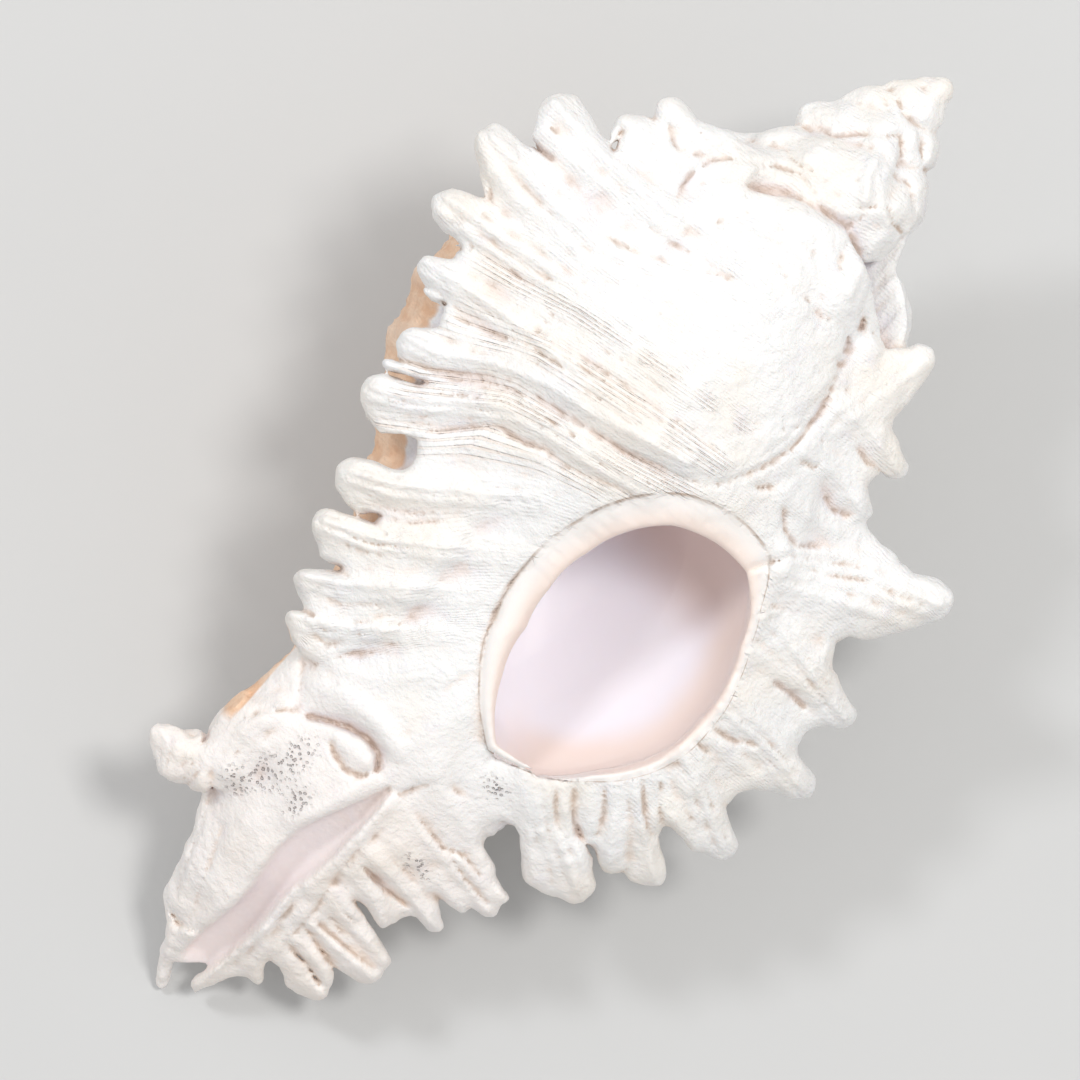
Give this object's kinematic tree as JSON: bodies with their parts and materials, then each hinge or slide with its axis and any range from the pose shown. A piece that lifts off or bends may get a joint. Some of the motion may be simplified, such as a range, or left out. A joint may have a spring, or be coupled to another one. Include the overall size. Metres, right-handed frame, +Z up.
{
  "type": "murex shell",
  "caption": "Spiny sea snail shell with a pointed spire, an oval mouth, a frilled outer lip and an open siphonal canal, lying mouth up.",
  "frame": {"origin": "under the middle of the shell's box, on the surface that it lies on", "axes": "+Y along the coiling axis towards the apex, +X towards the outer lip, +Z up, the way the mouth faces"},
  "size_m": [0.052, 0.095, 0.0399],
  "materials": {
    "shell": "matte chalky white, smooth inside the mouth"
  },
  "bodies": {
    "root": {"shell": "shell"}
  },
  "joints": []
}
